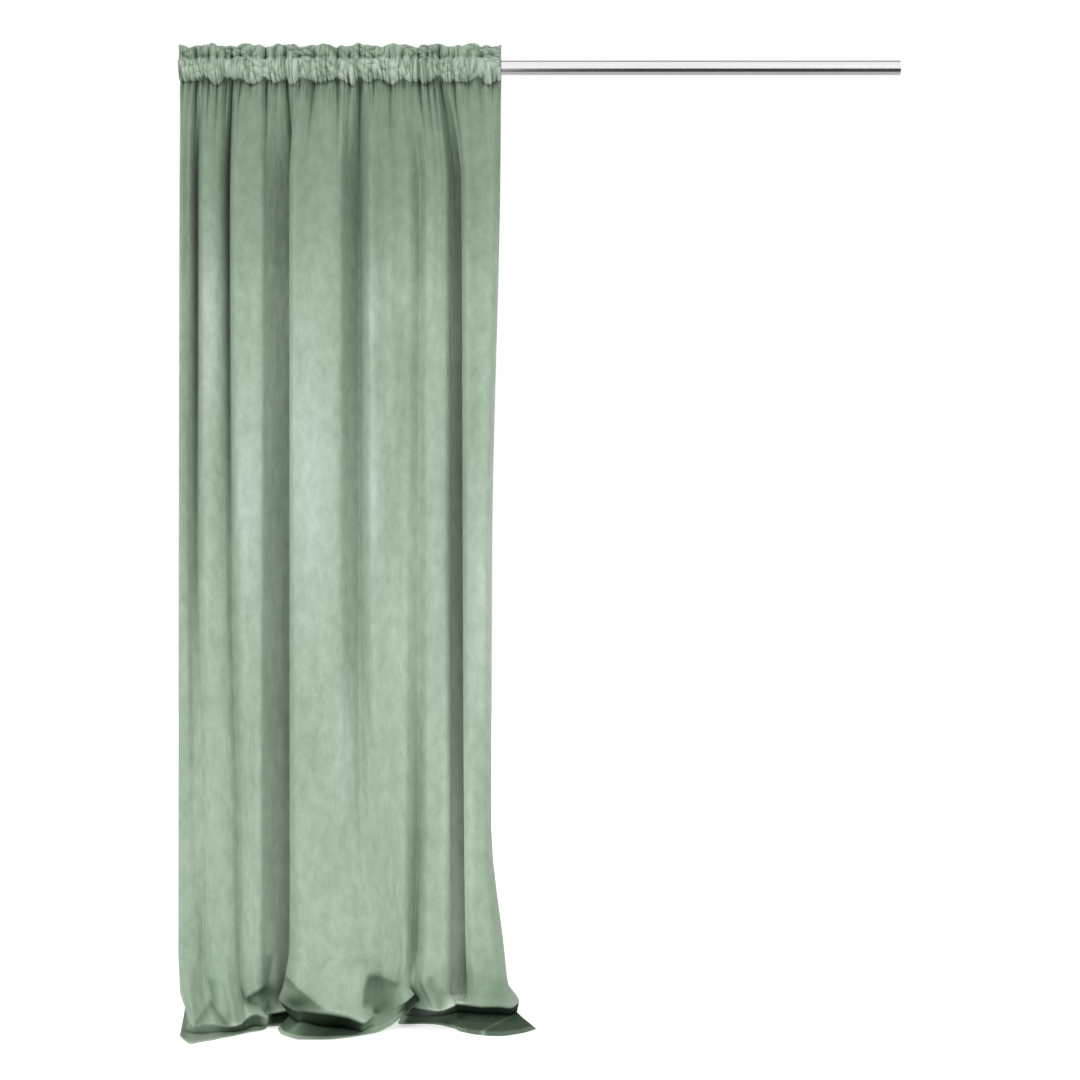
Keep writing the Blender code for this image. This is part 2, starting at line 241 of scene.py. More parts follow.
# The edges and folds from left to right, mm. "head" is across at the pocket; then across and out
# at four heights: high on the drape, half-way down, low, and at its foot above the break.
FOLDS = (
    # name, head, high across, out, middle across, out, low across, out, foot across, out
    ("side_hem", 6, 20, -26, 32, -32, 34, -34, 30, -26),
    ("f1_turn", 10, 7, 12, 7, 16, 8, 18, 8, 18),
    ("f1_crest", 18, 13, 34, 13, 36, 14, 38, 15, 42),
    ("f1_face", 30, 24, 24, 27, 30, 34, 36, 37, 36),
    ("v1_slope", 40, 34, 14, 34, 12, 49, 30, 54, 28),
    ("v1_root", 52, 43, -30, 45, -2, 64, 28, 66, 20),
    ("f2_lip", 64, 56, 14, 57, 18, 76, 32, 78, 27),
    ("f2_crest", 76, 70, 36, 76, 36, 92, 36, 95, 36),
    ("f2_face", 100, 98, 28, 102, 32, 120, 34, 123, 34),
    ("v2_slope", 118, 113, 2, 120, 20, 138, 28, 142, 26),
    ("v2_root", 132, 121, -40, 130, 4, 152, 18, 155, 15),
    ("f3_lip", 147, 134, 18, 144, 20, 164, 28, 166, 26),
    ("f3_crest", 162, 146, 36, 162, 36, 180, 36, 183, 36),
    ("f3_face", 190, 182, 34, 190, 34, 196, 34, 197, 36),
    ("f3_edge", 208, 209, 28, 210, 30, 210, 30, 210, 32),
    ("v3_slope", 222, 220, 2, 220, 4, 220, 4, 219, 8),
    ("v3_deep", 250, 252, -32, 258, -30, 260, -32, 260, -34),
    ("v3_root", 276, 300, -46, 316, -50, 322, -48, 316, -46),
    ("f4_lip", 296, 278, 16, 279, 18, 279, 12, 278, 5),
    ("f4_crest", 312, 289, 34, 292, 38, 295, 36, 299, 32),
    ("f4_pleat", 330, 312, 33, 317, 38, 321, 40, 326, 41),
    ("f4_mid", 350, 336, 33, 344, 38, 350, 42, 355, 45),
    ("f4_face", 400, 403, 31, 404, 36, 409, 42, 422, 46),
    ("v4_slope", 428, 419, -8, 424, 8, 438, 38, 460, 46),
    ("v4_root", 450, 448, -36, 449, -10, 456, 30, 490, 44),
    ("f5_lip", 465, 464, 8, 461, 13, 477, 36, 510, 42),
    ("f5_crest", 484, 478, 34, 482, 38, 499, 40, 531, 40),
    ("f5_dip", 520, 523, 9, 533, 22, 541, 34, 555, 30),
    ("f5b_crest", 548, 569, 32, 567, 33, 567, 32, 569, 26),
    ("f5b_dip", 574, 598, 5, 596, 18, 595, 4, 586, 0),
    ("f5c_crest", 594, 618, 32, 618, 33, 616, 30, 614, 30),
    ("f5c_face", 616, 643, 29, 648, 30, 648, 30, 651, 32),
    ("f5c_edge", 632, 659, 22, 661, 24, 663, 25, 663, 26),
    ("v5_slope", 642, 671, -9, 673, -14, 674, -14, 674, -10),
    ("v5_root", 656, 724, -46, 744, -48, 750, -46, 744, -40),
    ("f6_lip", 676, 702, 12, 705, 14, 708, 12, 712, 9),
    ("f6_crest", 700, 715, 34, 719, 36, 721, 36, 725, 36),
    ("f6_dip", 736, 749, 20, 745, 34, 742, 36, 752, 36),
    ("f6_face", 770, 773, 28, 760, 32, 757, 32, 776, 32),
    ("right_hem", 798, 795, 4, 775, 2, 773, 4, 804, 7),
)

# The same columns of cloth over the floor, mm: across, out and up where they break, at the knee,
# at the tuck beneath it and at the hem.
POOL = (
    # name, break across, out, up, knee across, out, up, tuck across, out, up, hem across, out, up
    ("side_hem", 22, -14, 89, 20, 24, 34, 16, 40, 4, 24, 108, 2),
    ("f1_turn", 12, 40, 97, 42, 90, 41, 30, 88, 10, 37, 140, 2),
    ("f1_crest", 21, 66, 115, 56, 128, 40, 42, 98, 8, 52, 170, 2),
    ("f1_face", 40, 70, 116, 66, 142, 36, 62, 104, 6, 63, 183, 2),
    ("v1_slope", 53, 56, 113, 80, 112, 34, 80, 94, 4, 80, 170, 2),
    ("v1_root", 69, 44, 98, 95, 98, 30, 98, 86, 4, 95, 158, 2),
    ("f2_lip", 82, 50, 100, 109, 98, 28, 112, 82, 4, 108, 148, 2),
    ("f2_crest", 103, 58, 114, 134, 102, 25, 129, 82, 4, 122, 133, 2),
    ("f2_face", 135, 62, 114, 158, 108, 30, 148, 80, 4, 137, 120, 2),
    ("v2_slope", 150, 44, 111, 168, 84, 29, 163, 70, 4, 153, 108, 2),
    ("v2_root", 156, 22, 105, 175, 66, 36, 176, 58, 4, 167, 92, 2),
    ("f3_lip", 163, 18, 83, 186, 60, 44, 187, 50, 8, 179, 78, 2),
    ("f3_crest", 182, 34, 96, 201, 62, 50, 199, 48, 10, 192, 67, 2),
    ("f3_face", 201, 44, 103, 215, 58, 44, 213, 40, 8, 205, 60, 2),
    ("f3_edge", 212, 36, 101, 226, 48, 36, 222, 30, 9, 218, 46, 2),
    ("v3_slope", 220, 6, 90, 222, 16, 34, 225, -20, 18, 224, 20, 3),
    ("v3_deep", 254, -40, 80, 248, 12, 38, 248, -40, 18, 252, 8, 2),
    ("v3_root", 298, -44, 80, 272, 8, 44, 277, -38, 20, 268, 14, 2),
    ("f4_lip", 262, 6, 102, 254, 22, 71, 280, 16, 26, 252, 40, 2),
    ("f4_crest", 299, 50, 124, 293, 66, 62, 300, 40, 18, 266, 92, 3),
    ("f4_pleat", 330, 66, 128, 328, 84, 62, 316, 44, 20, 308, 140, 3),
    ("f4_mid", 359, 80, 143, 380, 120, 67, 353, 52, 12, 328, 144, 3),
    ("f4_face", 425, 88, 152, 434, 112, 54, 415, 44, 5, 399, 140, 3),
    ("v4_slope", 463, 98, 158, 470, 106, 38, 462, 96, 8, 450, 112, 2),
    ("v4_root", 486, 90, 147, 489, 94, 50, 483, 92, 20, 475, 95, 2),
    ("f5_lip", 511, 66, 132, 510, 76, 50, 506, 76, 22, 499, 72, 2),
    ("f5_crest", 530, 56, 125, 536, 64, 62, 534, 52, 34, 530, 34, 10),
    ("f5_dip", 553, 42, 117, 568, 54, 76, 569, 50, 60, 568, 42, 44),
    ("f5b_crest", 570, 38, 112, 586, 54, 91, 593, 52, 83, 600, 46, 73),
    ("f5b_dip", 585, 32, 111, 574, 12, 57, 558, 0, 29, 542, -12, 3),
    ("f5c_crest", 611, 72, 124, 637, 88, 62, 608, 6, 26, 607, -10, 3),
    ("f5c_face", 649, 48, 99, 658, 70, 58, 662, 4, 30, 648, 0, 2),
    ("f5c_edge", 663, 30, 90, 679, 60, 65, 681, 0, 32, 680, 30, 2),
    ("v5_slope", 675, -6, 80, 686, 44, 68, 690, -8, 32, 694, 56, 2),
    ("v5_root", 722, -26, 78, 704, 46, 68, 708, -10, 32, 714, 74, 2),
    ("f6_lip", 717, 24, 92, 722, 52, 67, 728, 0, 32, 738, 92, 2),
    ("f6_crest", 733, 54, 105, 748, 62, 66, 752, 6, 31, 772, 106, 2),
    ("f6_dip", 757, 56, 106, 796, 66, 67, 795, 8, 31, 812, 104, 2),
    ("f6_face", 791, 44, 108, 821, 56, 62, 820, 8, 29, 850, 79, 2),
    ("right_hem", 815, 16, 107, 842, 24, 69, 837, 8, 36, 884, 38, 2),
)

# Places down the cloth from the lower stitch line for the rows of both tables, m
DOWN_THE_CLOTH = (0, 0.28, 1.17, 1.84, 2.14, 2.24, 2.33, 2.38, 2.45)

# How crisp the cloth turns at those places, from 0, smooth, to 1, creased
CRISP_DOWN = (0, 0, 0, 0, 0, 0.3, 0.9, 0.8, 0.5)

# The sharp puckers of the gathers at the rod, mm
PUCKERS = (
    # across the heading, depth, half width, reach down the cloth
    (14, 5, 5, 60),
    (29, 6, 5, 50),
    (44, 13, 5, 170),
    (62, 5, 6, 50),
    (76, 9, 5, 90),
    (97, 8, 4, 90),
    (118, 9, 4, 100),
    (133, 13, 5, 150),
    (155, 8, 5, 80),
    (180, 5, 6, 50),
    (217, 12, 7, 150),
    (242, 6, 6, 60),
    (267, 12, 5, 150),
    (300, 5, 7, 60),
    (336, 10, 7, 120),
    (366, 5, 7, 50),
    (395, 9, 5, 100),
    (424, 6, 6, 70),
    (449, 12, 6, 160),
    (484, 5, 7, 50),
    (523, 9, 6, 120),
    (556, 5, 6, 60),
    (595, 9, 5, 110),
    (615, 8, 4, 100),
    (630, 8, 4, 100),
    (646, 13, 5, 150),
    (681, 9, 6, 110),
    (718, 5, 7, 60),
    (750, 9, 6, 100),
    (777, 5, 5, 50),
)

# The turned-over heading from the hem of its back flap, over the top, to the lower stitch line in
# front, mm: up from the pocket's middle, out from it, then the share of puckers, ruffle and scallop.
HEADING = (
    # place, up, out, puckers, ruffle, scallop
    ("flap_hem", -42, -5, 0.9, 0, 1),
    ("lower_stitch_back", -30, -4, 1, 0, 1),
    ("pocket_back_low", -15, -30, -0.3, 0, 0.4),
    ("pocket_back", 0, -35, -0.6, 0, 0),
    ("pocket_back_high", 14, -28, -0.3, 0, 0),
    ("upper_stitch_back", 26, 2, 1, 0.2, 0.5),
    ("frill_back_low", 34, 3, 0.9, 0.3, 0),
    ("frill_back", 46, 3, 0.7, 0.9, 0),
    ("frill_back_high", 54, 5, 0.3, 1, 0),
    ("frill_top", 57, 9, 0.3, 1, 0),
    ("frill_front_high", 54, 13, 0.3, 1, 0),
    ("frill_front", 46, 15, 0.5, 0.9, 0),
    ("frill_front_low", 34, 17, 0.9, 0.3, 0),
    ("upper_stitch", 26, 18, 1, 0.2, 0.5),
    ("pocket_front_high", 14, 31, 0.9, 0, 0.6),
    ("pocket_front", 0, 35, 0.85, 0, 0.3),
    ("pocket_front_low", -15, 33, 0.9, 0, 0.6),
    ("pocket_lip", -27, 20, 1, 0, 1),
    ("lower_stitch", -30, 4, 1, 0, 1),
)


# How light the pile is painted down the cloth, from the lower stitch line: partly the nap's own tone and
# partly painted shade, darkest under the heading
SHADE_AND_NAP_DOWN = (
    # place in m, tone
    (0.00, 0.58),
    (0.06, 0.60),
    (0.25, 0.65),
    (0.41, 0.79),
    (0.54, 0.96),
    (0.80, 1.02),
    (1.40, 1.00),
    (2.10, 0.93),
    (2.45, 0.93),
)

# How light the inside of the hem is painted where it lies out from under the folds: painted shade in the
# hollows, and painted light on rims and knees
SKIRT_TONES = (
    # hem across in mm, tone, tone of its rim, painted shade beneath the knee, painted light on the knee
    (0, 0.85, 1.2, 0.20, 0.5),
    (105, 0.85, 1.2, 0.25, 0.5),
    (135, 0.65, 1.1, 0.85, 1.0),
    (200, 0.50, 1.0, 0.85, 1.0),
    (222, 0.45, 0.9, 0.20, 1.0),
    (235, 0.10, 0.5, 0.95, 0.0),
    (262, 0.25, 1.1, 0.92, 0.0),
    (285, 0.60, 1.2, 0.80, 0.0),
    (320, 0.22, 0.9, 0.94, 0.2),
    (370, 0.10, 0.5, 0.97, 1.0),
    (440, 0.12, 0.8, 0.95, 1.0),
    (470, 0.45, 1.1, 0.60, 0.6),
    (490, 0.85, 1.1, 0.10, 0.0),
    (535, 0.90, 1.2, 0.10, 0.0),
    (550, 0.60, 0.8, 0.60, 0.0),
    (565, 0.06, 0.3, 0.97, 0.4),
    (600, 0.07, 0.3, 0.97, 0.6),
    (630, 0.12, 0.45, 0.97, 1.0),
    (680, 0.14, 0.45, 0.97, 1.0),
    (790, 0.16, 0.40, 0.97, 1.0),
    (884, 0.15, 0.42, 0.95, 0.8),
)

# The main creases at the break, mm, each drawn upwards or to the right: a ridge is out above 0 and
# a trough below, with its half widths to the left or above and to the right or below. The shade
# lies to the right or below, and a shade below 0 to the left or above.
BREAK_CREASES = (
    # name, from across, up, to across, up, out, half width left, right, shade
    ("tuck_mouth", 168, 74, 222, 110, 8, 16, 14, 0.92),
    ("tuck_lip", 170, 68, 208, 60, 6, 7, 14, -0.55),
    ("tuck_corner", 208, 60, 233, 34, 6, 7, 14, -0.70),
    ("tuck_side", 224, 104, 230, 180, -7, 12, 5, -0.35),
    ("knee_left_side", 58, 26, 88, 78, 4, 14, 12, 0.35),
    ("knee_right_side", 88, 78, 148, 28, 5, 14, 10, 0.45),
    ("left_trough", 94, 60, 84, 124, -6, 9, 13, 0.35),
    ("second_trough", 140, 30, 118, 120, -4, 8, 12, 0.20),
    ("peak_edge", 462, 70, 477, 150, 9, 36, 20, 0.60),
    ("peak_top", 477, 150, 552, 118, 7, 26, 18, 0.55),
    ("curl", 505, 26, 484, 66, 9, 10, 9, 0.80),
    ("flank_edge", 262, 132, 372, 70, 6, 20, 18, 0.58),
    ("tube", 638, 54, 606, 126, 7, 8, 8, 0),
    ("tube_inside", 624, 66, 599, 122, -12, 6, 7, 0.50),
    ("tube_side", 654, 58, 622, 132, -8, 5, 11, 0.35),
    ("rim_bead", 782, 75, 826, 60, 4, 5, 5, 0),
)

# Where the pile is painted lighter or darker: brushed areas on the folds, painted light in two valleys
# and on the knees, and painted shade in the corners of the break, which stays whatever the light
PILE_SHADE_AND_LIGHT_PATCHES = (
    # place, across, up, half width, half height in mm, change of tone
    ("last_valley", 690, 330, 26, 460, 1.1),
    ("middle_valley", 252, 330, 30, 420, 0.30),
    ("first_fold_dark", 24, 1480, 30, 260, -0.22),
    ("second_fold_dark", 108, 1340, 18, 240, -0.14),
    ("wide_fold_dark", 420, 1500, 26, 260, -0.12),
    ("fifth_fold_dark", 560, 1560, 34, 240, -0.16),
    ("last_fold_dark", 730, 1560, 24, 320, -0.10),
    ("knees_light", 376, 210, 46, 150, 0.08),
    ("first_foot", 22, 34, 24, 44, -0.85),
    ("second_foot", 130, 34, 18, 22, -0.38),
    ("tuck_throat", 214, 78, 24, 26, -0.50),
    ("wide_fold_corner", 300, 72, 48, 24, -0.88),
    ("peak_face", 506, 108, 34, 34, -0.36),
    ("peak_foot", 518, 66, 36, 36, -0.66),
    ("tube_throat", 603, 78, 24, 44, -0.62),
    ("gap_corner", 580, 44, 16, 16, -0.85),
    ("last_valley_foot", 713, 118, 26, 64, -0.42),
    ("last_fold_foot", 776, 92, 44, 50, -0.34),
)

# Where the brushed nap is painted silver, a painted sheen, mm from the left edge and the floor
SILVER_SHEEN = (
    # place, across, up, half width, half height, share
    ("second_fold", 86, 1732, 20, 220, 0.8),
    ("third_fold", 176, 1300, 26, 240, 0.9),
    ("wide_fold", 332, 1336, 46, 300, 1.0),
    ("wide_fold_low", 408, 720, 28, 150, 0.6),
    ("fifth_fold_high", 489, 1777, 22, 90, 0.8),
    ("fifth_fold", 489, 1323, 22, 220, 0.9),
    ("sixth_fold", 639, 1126, 22, 330, 0.5),
    ("right_edge", 750, 1077, 26, 300, 0.9),
)

# How far apart the small gathers lie at the rod, mm
GATHER_PITCH = (
    # across, pitch
    (0, 17),
    (40, 13),
    (200, 15),
    (250, 22),
    (300, 34),
    (400, 30),
    (450, 24),
    (580, 20),
    (625, 13),
    (720, 16),
    (765, 26),
    (800, 22),
)


def steady_slopes(knots, values):
    """Slopes that keep a curve between its neighbouring knots, flat where it turns back."""
    steps = np.diff(knots).reshape((-1,) + (1,) * (values.ndim - 1))
    rises = np.diff(values, axis=0) / steps
    before, after = rises[:-1], rises[1:]
    both = before * after
    mean = 2 * both / np.where(both > 0, before + after, 1)
    slopes = np.concatenate([rises[:1], np.where(both > 0, mean, 0), rises[-1:]])
    return slopes


def smooth_through(at, knots, values, steady=False, crisp=0.0):
    """A curve through the values at the knots, read at the places asked for: smooth, or crisper."""
    slopes = steady_slopes(knots, values) if steady else np.gradient(values, knots, axis=0)
    first = np.clip(np.searchsorted(knots, at) - 1, 0, len(knots) - 2)
    step = knots[first + 1] - knots[first]
    t = (at - knots[first]) / step
    wide = (-1,) + (1,) * (values.ndim - 1)
    step = step.reshape(wide)
    t = t.reshape(wide)
    start = (2 * t**3 - 3 * t**2 + 1) * values[first]
    end = (3 * t**2 - 2 * t**3) * values[first + 1]
    leave = (t**3 - 2 * t**2 + t) * step * slopes[first]
    arrive = (t**3 - t**2) * step * slopes[first + 1]
    straight = (1 - t) * values[first] + t * values[first + 1]
    curved = start + end + leave + arrive
    return curved + crisp * (straight - curved)


def length_of(across, out):
    """Length of cloth along a row."""
    return np.hypot(np.diff(across), np.diff(out)).sum()


def depth_scale(across, out):
    """How much deeper a row's folds are made so that the row takes up the cloth's flat width."""
    low, high = 0.0, DEEPEST
    for _ in range(HALVINGS):
        middle = (low + high) / 2
        if length_of(across, out * middle) < FLAT_WIDTH:
            low = middle
        else:
            high = middle
    return low


def flat_positions():
    """Where each fold line lies across the flat cloth, from the folds half-way down."""
    across = np.array([row[4] for row in FOLDS]) / 1000
    out = np.array([row[5] for row in FOLDS]) / 1000
    steps = np.hypot(np.diff(across), np.diff(out))
    places = np.concatenate([[0], np.cumsum(steps)])
    return places * FLAT_WIDTH / places[-1]


def column_values(table, column, at, crisp=0.0):
    """One column of a table of folds, read across the flat cloth."""
    values = np.array([row[column] for row in table]) / 1000
    return smooth_through(at, flat_positions(), values, crisp=crisp)


def fold_row(at, column, up):
    """A level row of the hanging folds as across, out and up."""
    across = column_values(FOLDS, column, at)
    out = column_values(FOLDS, column + 1, at)
    out = out * depth_scale(across, out)
    return np.stack([across, out, np.full_like(at, up)], axis=-1)


def pool_rows(at):
    """Rows at the break, the knee, the tuck and the hem on the floor."""
    rows = []
    for column in (1, 4, 7, 10):
        across = column_values(POOL, column, at, POOL_CRISP)
        out = column_values(POOL, column + 1, at, POOL_CRISP)
        up = column_values(POOL, column + 2, at, POOL_CRISP)
        rows.append(np.stack([across, out, np.maximum(up, FLOOR_CLEAR)], axis=-1))
    return rows


def puckers_apart(across):
    """Each pucker's own pull on the cloth, a row for each, and how far down it reaches."""
    place, depth, width, reach = np.array(PUCKERS, dtype=float).T[:, :, None] / 1000
    pulled = -depth * np.exp(-np.abs(across[None, :] - place) / width)
    return pulled * depth_scale(across, pulled.sum(axis=0)), reach[:, 0]


def ruffle_wave(across):
    """The looser waves of the frill above the rod."""
    x = across * 1000 / RUFFLE_PITCH_MM
    return sum(size * np.sin(2 * np.pi * many * x + start) for size, many, start in RUFFLE_WAVES)


def scallop_wave(across):
    """The uneven pull of the thread on the lower stitch line."""
    return sum(size * np.sin(2 * np.pi * across / long + start) for size, long, start in SCALLOP_WAVES)


def heading_rows(at):
    """Rows from the back flap's hem, over the top of the frill, to the lower stitch line."""
    across = column_values(FOLDS, 1, at)
    pulled = puckers_apart(across)[0].sum(axis=0)
    ruffle = ruffle_wave(across)
    scallop = scallop_wave(across) * SCALLOP_MM - pulled * 1000 * PULL_UP
    knots = np.arange(len(HEADING), dtype=float)
    places = np.linspace(0, knots[-1], (len(HEADING) - 1) * HEADING_STEPS + 1)
    table = np.array([row[1:] for row in HEADING], dtype=float)
    rows = []
    for up, out, puckered, ruffled, scalloped in smooth_through(places, knots, table):
        forward = out / 1000 + puckered * pulled + ruffled * ruffle * RUFFLE_OUT_MM / 1000
        height = up + ruffled * ruffle_wave(across + RUFFLE_SHIFT) * RUFFLE_UP_MM
        height = POCKET_UP + (height + scalloped * scallop) / 1000
        rows.append(np.stack([across, forward, height], axis=-1))
    return rows


def hanging_rows(at, stitch_row):
    """Rows from the lower stitch line down the folds and over the floor."""
    pulled, reach = puckers_apart(column_values(FOLDS, 1, at))
    plain = stitch_row.copy()
    plain[:, 1] -= pulled.sum(axis=0)
    marks = [plain, fold_row(at, 2, HIGH_UP), fold_row(at, 4, MIDDLE_UP)]
    marks += [fold_row(at, 6, LOW_UP), fold_row(at, 8, FOOT_UP)]
    marks += pool_rows(at)
    places = body_places()
    crisp = np.interp(places, DOWN_THE_CLOTH, CRISP_DOWN)[:, None, None]
    rows = smooth_through(places, np.array(DOWN_THE_CLOTH), np.stack(marks), True, crisp)
    rows[:, :, 1] += np.exp(-places[:, None] / reach) @ pulled
    swell = SWELL_OUT * (1 - np.exp(-places / SWELL_TURN)) * np.exp(-places / SWELL_FADE)
    rows[:, :, 1] += swell[:, None]
    return list(rows)


def clear_of_rod(rows, back_rows):
    """Keep the cloth on its own side of the rod and no nearer its axis than the pocket allows."""
    least = ROD_DIAMETER / 2 + ROD_CLEARANCE
    up = rows[..., 2] - POCKET_UP
    room = np.sqrt(np.maximum(least**2 - up**2, 0))
    side = np.where(np.arange(len(rows)) < back_rows, -1, 1)[:, None]
    out = side * rows[..., 1]
    kept = ROD_GIVE * np.logaddexp(out / ROD_GIVE, room / ROD_GIVE)
    rows[..., 1] = side * np.where(room > 0, kept, out)
    return rows


def gathers_counted(across, shift):
    """How many small gathers lie to the left of a place, unevenly spaced."""
    fine = np.linspace(0, GATHERS_WIDE, FINE_PLACES)
    marks = [row[0] / 1000 for row in GATHER_PITCH]
    pitch = np.interp(fine, marks, [row[1] / 1000 for row in GATHER_PITCH])
    counted = np.concatenate([[0], np.cumsum(FINE_STEP / pitch[1:])])
    uneven = sum(size * np.sin(across * turns + share * shift) for size, turns, share in GATHER_WAVES)
    jitter = JITTER * np.sin(across * JITTER_TURNS + shift)
    return np.interp(across, fine, counted) + uneven + jitter


def gather_folds(rows):
    """Crisp little folds at the rod that run aslant from one line of stitches to the other, 0 to 1."""
    across = rows[..., 0]
    height = (rows[..., 2] - POCKET_UP - LOWER_LINE) / (UPPER_LINE - LOWER_LINE)
    low = gathers_counted(across, LOW_SHIFT)
    high = gathers_counted(across, HIGH_SHIFT) + GATHER_SLANT
    blend = np.clip(height, *SLANT_RANGE)
    counted = low + (high - low) * blend
    sizes = np.random.default_rng(GATHER_SEED).uniform(*GATHER_SIZES, GATHER_COUNT)
    size = sizes[np.clip(counted.astype(int), 0, GATHER_COUNT - 1)]
    return size * np.abs(np.sin(np.pi * counted))


def crumpled(rows):
    """Short slanting creases between the gathers of the heading, from 0 in a crease to 1."""
    across, up = rows[..., 0], rows[..., 2]
    wander = np.sin(across * CRUMPLE_WANDER[0] + up * CRUMPLE_WANDER[1])
    patterns = []
    for aslant, rise, share, start in CRUMPLES:
        patterns.append(np.abs(np.sin(across * aslant + up * rise + share * wander + start)))
    return np.minimum(*patterns)


def gather_share(rows, hanging):
    """How strong the small gathers are: full at the pocket and fading up the frill and down the folds."""
    height = rows[..., 2] - POCKET_UP
    above = np.exp(-np.maximum(height - UPPER_LINE, 0) / GATHER_UP)
    below = np.exp(-np.maximum(LOWER_LINE - height, 0) / GATHER_DOWN)
    return above * np.where(hanging, below, 1)


def placed_creases(rows):
    """The main creases where the drape breaks at the floor: how far out, and how deep the shade."""
    across = rows[..., 0] * 1000 + CREASE_WANDER * np.sin(rows[..., 2] * WANDER_TURNS[0])
    up = rows[..., 2] * 1000 + CREASE_WANDER * np.sin(rows[..., 0] * WANDER_TURNS[1])
    total = np.zeros_like(across)
    light = np.ones_like(across)
    for _, from_across, from_up, to_across, to_up, out, wide_left, wide_right, dark in BREAK_CREASES:
        run = np.array([to_across - from_across, to_up - from_up], dtype=float)
        length = np.hypot(*run)
        run /= length
        along = (across - from_across) * run[0] + (up - from_up) * run[1]
        beside = (across - from_across) * run[1] - (up - from_up) * run[0]
        nearest = np.minimum(along + CREASE_PAST_END, length + CREASE_PAST_END - along)
        ends = np.clip(nearest / CREASE_END_FADE, 0, 1)
        ends = ends**2 * (3 - 2 * ends)
        wide = np.where(beside > 0, wide_right, wide_left)
        profile = np.exp(-np.sqrt((beside / wide) ** 2 + CREASE_ROUND))
        total += out / 1000 * profile * CREASE_PEAK * ends
        turned = beside if dark > 0 else -beside
        reach = SHADE_REACH * (wide_right if dark > 0 else wide_left)
        starting = 1 + np.exp(np.minimum(-turned / SHADE_EDGE, LARGEST_POWER))
        shaded = np.exp(-(turned / reach) ** 2) / starting
        light *= 1 - abs(dark) * shaded * ends
    return total, light


def read_skirt(at, column):
    """One column of the hem's painted shade and light, read across the flat cloth."""
    hem = np.interp(at, flat_positions(), [row[10] for row in POOL])
    return np.interp(hem, [row[0] for row in SKIRT_TONES], [row[column] for row in SKIRT_TONES])


def soft_patch(rows, across, up, half_width, half_height):
    """A soft round patch on the cloth, 1 in its middle, its place and half sizes in mm."""
    wide = (rows[..., 0] * 1000 - across) / half_width
    high = (rows[..., 2] * 1000 - up) / half_height
    return np.exp(-wide**2 - high**2)


def body_tones(at, places, rows):
    """How light the pile is painted: brushed areas, painted shade under the heading and at the break, and
    painted light on rims.
    """
    down = np.interp(places, [row[0] for row in SHADE_AND_NAP_DOWN], [row[1] for row in SHADE_AND_NAP_DOWN])
    tones = np.repeat(down[:, None], len(at), axis=1)
    for _, across, up, half_width, half_height, change in PILE_SHADE_AND_LIGHT_PATCHES:
        tones *= 1 + change * soft_patch(rows, across, up, half_width, half_height)
    # Painted shade inside the hem, with painted light on its rim
    inside = np.interp(places, (TUCK_PLACE - TUCK_BLEND, TUCK_PLACE), (0, 1))[:, None]
    rim = np.clip((places - HEM_RIM_PLACE) / RIM_BLEND, 0, 1)[:, None]
    hem_shade_and_rim_light = read_skirt(at, 1) * (1 - rim) + read_skirt(at, 2) * rim
    tones *= 1 + inside * (hem_shade_and_rim_light - 1)
    # Painted shade beneath the knees, where the cloth turns under
    turned_under = (KNEE_PLACE, KNEE_PLACE + KNEE_BLEND, TUCK_PLACE, TUCK_PLACE + TUCK_FADE)
    under = np.interp(places, turned_under, (0, 1, 1, 0))[:, None]
    tones *= 1 - read_skirt(at, 3) * under
    # A painted shadow along the tuck, and painted light along the knees' rims
    tuck = np.exp(-((places - TUCK_PLACE) / TUCK_WIDE) ** 2)[:, None] * read_skirt(at, 3)
    past_rim = (places - KNEE_PLACE + KNEE_RIM_BACK) / KNEE_RIM_WIDE
    knee = np.exp(-past_rim**2)[:, None] * read_skirt(at, 4)
    seam_at = np.interp(places, (TUCK_PLACE, HEM_RIM_PLACE), SEAM_ACROSS)[:, None]
    seam = np.exp(-((rows[..., 0] * 1000 - seam_at) / SEAM_WIDE_MM) ** 2) * inside
    return tones * (1 - TUCK_DARK * tuck) * (1 + KNEE_RIM_LIGHT * knee) * (1 + SEAM_LIGHT * seam)


def silver_sheen_patches(rows):
    """Where the brushed nap is painted silver, a painted sheen on the faces of the folds."""
    silver = np.zeros(rows.shape[:2])
    for _, across, up, half_width, half_height, share in SILVER_SHEEN:
        patch = soft_patch(rows, across, up, half_width, half_height)
        silver = np.maximum(silver, share * patch)
    return silver


def body_places():
    """Places of the rows down the cloth, close together below the gathers and over the floor."""
    body = FIRST_ROW + BODY_LONG * np.linspace(0, 1, BODY_ROWS) ** ROW_SPREAD
    breaking = np.linspace(BREAK_START, KNEE_PLACE, BREAK_ROWS)
    hem = np.linspace(KNEE_PLACE + KNEE_STEP, DOWN_THE_CLOTH[-1], HEM_ROWS)
    return np.concatenate([body, breaking, hem])


def draw_lips(rows, folds, height):
    """Let the cloth droop unevenly at both lines of stitches, in scallops at the lower one."""
    lower_lip = np.exp(-((height - LOWER_LINE) / LIP_TALL) ** 2)
    upper_lip = np.exp(-((height - UPPER_LINE) / LIP_TALL) ** 2)
    across = rows[..., 0]
    uneven = sum(size * np.sin(across * turns + start) for size, turns, start in LIP_WAVES)
    rows[..., 2] -= GATHER_DROOP * (folds - GATHER_MIDDLE) * (lower_lip + upper_lip)
    rows[..., 2] -= SCALLOP_DROOP * uneven * lower_lip


def heading_tones(height):
    """The pocket is painted lighter, a painted highlight, and the ruffle above it darker, painted shade.
    """
    at_the_stitches = (UPPER_LINE - STITCH_BELOW, UPPER_LINE + STITCH_ABOVE)
    return np.interp(height, at_the_stitches, (POCKET_TONE, FRILL_TONE))


